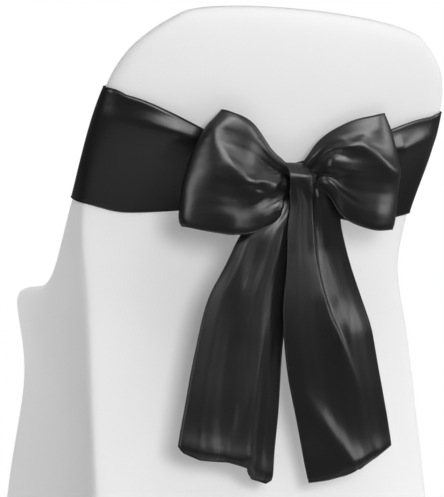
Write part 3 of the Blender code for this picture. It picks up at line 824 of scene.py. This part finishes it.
def fold_height(points, fold):
    """Height of one fold at each point: a crest along a line, with its own slope on each side."""
    line = catmull_rows(fold.points, FOLD_STEPS)
    start = line[:-1]
    step = line[1:] - start
    length = np.linalg.norm(step, axis=1)
    at = lengths_along(length)
    flat = points[..., (0, 2)].reshape(-1, 1, 2)
    offset = flat - start[None]
    share = np.clip((offset * step[None]).sum(2) / (length**2)[None], 0.0, 1.0)
    apart = offset - share[..., None] * step[None]
    distance = np.linalg.norm(apart, axis=2)
    nearest = distance.argmin(1)
    pick = np.arange(len(flat))
    d = distance[pick, nearest]
    t = (at[nearest] + share[pick, nearest] * length[nearest]) / at[-1]
    turn = step[nearest, 0] * apart[pick, nearest, 1] - step[nearest, 1] * apart[pick, nearest, 0]
    width = np.where(turn > 0, fold.right, fold.left)
    height = np.interp(t, (0.0, 0.5, 1.0), (fold.start, fold.middle, fold.end))
    slope = (np.sqrt(d * d + fold.crest**2) - fold.crest) / width
    return (height * np.exp(-slope**FOLD_FALL)).reshape(points.shape[:2])


def with_folds(points, folds, way=None):
    """A surface with its folds raised along its normals, or one way, where it faces +Y."""
    raised = np.zeros(points.shape[:2])
    for fold in folds:
        raised += fold_height(points, fold)
    normals = grid_normals(points)
    raised *= smoothstep(normals[..., 1] / FOLD_FACING)
    return points + (normals if way is None else np.array(way)) * raised[..., None]


def with_hem(points, profile):
    """A tail with its hem let down along a profile."""
    rows = np.linspace(0.0, 1.0, len(points))[:, None]
    across = np.linspace(0.0, 1.0, points.shape[1])
    drop = np.interp(across, [p[0] for p in profile], [p[1] for p in profile])[None, :]
    lowered = points.copy()
    lowered[..., 2] -= drop * smoothstep((rows - 1 + TAIL_HEM_SHARE) / TAIL_HEM_SHARE)
    return lowered


def sheet_uvs(points):
    """Distances along and across a grid of points, in metres."""
    along = lengths_along(np.linalg.norm(np.diff(points, axis=0), axis=2).mean(1))
    across = np.linspace(0.0, 1.0, points.shape[1]) * SASH_WIDTH
    return np.stack(np.broadcast_arrays(along[:, None], across[None, :]), -1).reshape(-1, 2)


def sheet_object(name, points, material, closed=False, end=False):
    """A thin sheet through a grid of points, with a rolled edge along its sides and end."""
    faces = grid_faces(*points.shape[:2], closed)
    sheet = mesh_object(name, points.reshape(-1, 3), faces, material, sheet_uvs(points))
    cloth = sheet.modifiers.new("Solidify", "SOLIDIFY")
    cloth.thickness = SATIN
    cloth.offset = 0.0
    if end:
        edges = [(np.vstack((points[:, 0], points[-1, 1:-1], points[::-1, -1])), False)]
    else:
        edges = [(points[:, 0], closed), (points[:, -1], closed)]
    places, quads = tubes(edges, ROLL, CORD_SIDES)
    roll = mesh_object(name + "_edge", places, quads, material, [(p[0], p[2]) for p in places])
    return sheet, roll


def band_heights(share):
    """Upper and lower selvedge of the band at a share of the way out along the back."""
    curve = catmull_rows(BAND_REAR, BAND_STEPS)
    return tuple(float(np.interp(share, curve[:, 0], curve[:, k])) for k in (1, 2))


def turn_stations(hand, to_front):
    """The band's columns around one side of the chair's back, from the rear or from the front."""
    stations = []
    for step in range(1, END_STEPS):
        t = step / END_STEPS if to_front else 1 - step / END_STEPS
        facing = Vector((hand * math.sin(math.pi * t), math.cos(math.pi * t), 0.0))
        climb = math.sin(math.pi * t / 2)
        heights = [rear + (front - rear) * climb
                   for rear, front in zip(band_heights(1.0), BAND_FRONT[1:])]
        stations.append((hand, facing, heights))
    return stations


def band_stations():
    """Where the band's columns lie: (share of the way out, way the cover faces, heights)."""
    shares = [i / BAND_ALONG for i in range(-BAND_ALONG, BAND_ALONG + 1)]
    rear = [(share, Vector((0.0, 1.0, 0.0)), band_heights(abs(share))) for share in shares]
    forwards = Vector((0.0, -1.0, 0.0))
    front = [(share, forwards, BAND_FRONT[1:]) for share in reversed(shares)]
    return rear + turn_stations(1, True) + front + turn_stations(-1, False)


def chair_back(tree, x, z):
    """Middle of the chair back's depth at a place of the cover."""
    rear = tree.ray_cast(Vector((x, RAY, z)), Vector((0.0, -1.0, 0.0)))[0]
    front = tree.ray_cast(Vector((x, -RAY, z)), Vector((0.0, 1.0, 0.0)))[0]
    return (rear + front) / 2


def band_surface(tree):
    """Points of the band, column after column around the chair's back."""
    rows = []
    for share, facing, (upper, lower) in band_stations():
        row = []
        for i in range(BAND_ACROSS + 1):
            z = upper + (lower - upper) * i / BAND_ACROSS
            probe = chair_back(tree, SIDE_PROBE, z)
            outside = Vector((RAY, probe.y, z))
            half_width = tree.ray_cast(outside, Vector((-1.0, 0.0, 0.0)))[0].x
            centre = chair_back(tree, share * (half_width - END_RADIUS), z)
            place, normal, _, _ = tree.ray_cast(centre + facing * RAY, -facing)
            row.append(tuple(place + normal * BAND_STAND_OFF))
        rows.append(row)
    return np.array(rows)


# -------------------------------- the pieces
def build_cover(knit):
    """The cover's pieces; returns the skin as a tree, the pieces and the trimmings."""
    skin = cover_skin()
    pieces = {}
    for index, name in enumerate(PANELS):
        panel = panel_object(skin, index, knit)
        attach(panel, "root")
        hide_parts(name)
        pieces[name] = panel
    trimmings = [build_seams(skin, knit), *build_hem(skin, knit)]
    for piece in trimmings:
        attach(piece, "root")
    hem = RINGS[0]
    for side, hand in ((1, "left"), (-1, "right")):
        for end, edge, towards, rake in (
            ("front", (hem.wf - POCKET_INSET, hem.yf + POCKET_INSET), 1, FRONT_RAKE),
            ("rear", (hem.wr - POCKET_INSET, hem.yr - POCKET_INSET), -1, REAR_RAKE),
        ):
            name = f"foot_pocket_{end}_{hand}"
            pocket = build_pocket(name, side, edge, towards, rake, knit)
            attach(pocket, "root")
            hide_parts(name)
            pieces[name] = pocket
    tree = BVHTree.FromBMesh(skin)
    skin.free()
    return tree, pieces, trimmings


def joined(name, parts, material):
    """One object made of others, with their modifiers applied."""
    graph = bpy.context.evaluated_depsgraph_get()
    shape = bmesh.new()
    for part in parts:
        mesh = bpy.data.meshes.new_from_object(part.evaluated_get(graph))
        shape.from_mesh(mesh)
        bpy.data.meshes.remove(mesh)
        bpy.data.objects.remove(part)
    mesh = bpy.data.meshes.new(name)
    shape.to_mesh(mesh)
    shape.free()
    mesh.shade_smooth()
    mesh.materials.append(material)
    return add_object(name, mesh)


def build_sash(tree, satin):
    """Band, loops and tails."""
    band = with_folds(band_surface(tree), FOLDS["sash_band"], way=(0.0, 1.0, 0.0))
    made = [*sheet_object("sash_band", band, satin, closed=True)]
    for ribbon in RIBBONS:
        points = ribbon_surface(ribbon)
        if ribbon.name in TAIL_HEMS:
            points = with_hem(points, TAIL_HEMS[ribbon.name])
        points = with_folds(points, FOLDS[ribbon.name])
        made += sheet_object(ribbon.name, points, satin, end="tail" in ribbon.name)
    whole = joined("satin_sash", made, satin)
    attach(whole, "root")
    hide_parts("sash")
    return whole


# -------------------------------- the stage
def aim(made, way):
    """Turn a camera or a light to look along a way."""
    made.rotation_mode = "QUATERNION"
    made.rotation_quaternion = way.to_track_quat("-Z", "Y")


def build_camera():
    """The level camera, with its picture shifted up."""
    camera = bpy.data.cameras.new("Camera")
    camera.sensor_fit = "AUTO"
    camera.sensor_width = CAMERA_SENSOR
    camera.lens = CAMERA_LENS
    camera.shift_y = CAMERA_SHIFT
    viewer = add_object("Camera", camera)
    viewer.location = CAMERA_PLACE
    azimuth = math.radians(CAMERA_AZIMUTH)
    aim(viewer, Vector((-math.sin(azimuth), -math.cos(azimuth), 0.0)))
    bpy.context.scene.camera = viewer


def build_world():
    """A white sky, which looks brighter than it lights or gleams."""
    world = bpy.data.worlds.new("World")
    bpy.context.scene.world = world
    world.use_nodes = True
    tree = world.node_tree
    background = tree.nodes["Background"]
    background.inputs["Color"].default_value = WHITE
    sky = node(tree, "TexCoord")
    axes = node(tree, "SeparateXYZ")
    level = node(tree, "MapRange",
                 {"From Min": -1.0, "From Max": 1.0, "To Min": SKY_RIGHT, "To Max": SKY_LEFT})
    link(tree, sky, "Generated", axes, "Vector")
    link(tree, axes, "X", level, "Value")
    link(tree, level, "Result", background, "Strength")
    path = node(tree, "LightPath")
    last = background
    for ray, strength in (("Is Glossy Ray", SKY_GLEAM), ("Is Camera Ray", SKY_SEEN)):
        seen = node(tree, "Background", {"Color": WHITE, "Strength": strength})
        mix = node(tree, "MixShader")
        link(tree, path, ray, mix, "Fac")
        link(tree, last, 0, mix, 1)
        link(tree, seen, 0, mix, 2)
        last = mix
    link(tree, last, 0, tree.nodes["World Output"], "Surface")


def build_lights():
    """The softboxes, each aimed at its target."""
    for box in SOFTBOXES:
        light = bpy.data.lights.new(box.name, "AREA")
        light.shape = "RECTANGLE"
        light.size, light.size_y = box.size
        light.energy = box.power
        light.use_shadow = box.shadow
        lamp = add_object(box.name, light)
        lamp.location = box.place
        aim(lamp, Vector(box.target) - Vector(box.place))
        lamp.visible_diffuse = box.lights
        lamp.visible_glossy = box.gleams


def build_floor():
    """A pale round floor that fades out around the chair."""
    material, tree, shader = principled("floor", (0.9, 0.9, 0.9), 0.9)
    shader.inputs["Emission Color"].default_value = WHITE
    shader.inputs["Emission Strength"].default_value = 0.06
    shader.inputs["Specular IOR Level"].default_value = 0.1
    place = node(tree, "TexCoord")
    length = node(tree, "VectorMath", operation="LENGTH")
    fade = node(tree, "MapRange", {"From Min": 0.55, "From Max": 0.95},
                interpolation_type="SMOOTHSTEP")
    clear = node(tree, "BsdfTransparent")
    mix = node(tree, "MixShader")
    link(tree, place, "Object", length, 0)
    link(tree, length, "Value", fade, "Value")
    link(tree, fade, "Result", mix, "Fac")
    link(tree, shader, 0, mix, 1)
    link(tree, clear, 0, mix, 2)
    link(tree, mix, 0, tree.nodes["Material Output"], "Surface")
    disc = [(math.cos(t), math.sin(t), 0.0) for t in full_turn(FLOOR_CORNERS)]
    floor = mesh_object("floor", disc, [tuple(range(FLOOR_CORNERS))], material)


knit = knit_material()
satin = satin_material()
tree, cover, trimmings = build_cover(knit)
sash = build_sash(tree, satin)
bpy.context.scene.view_settings.view_transform = "Standard"
build_camera()
build_world()
build_lights()
build_floor()
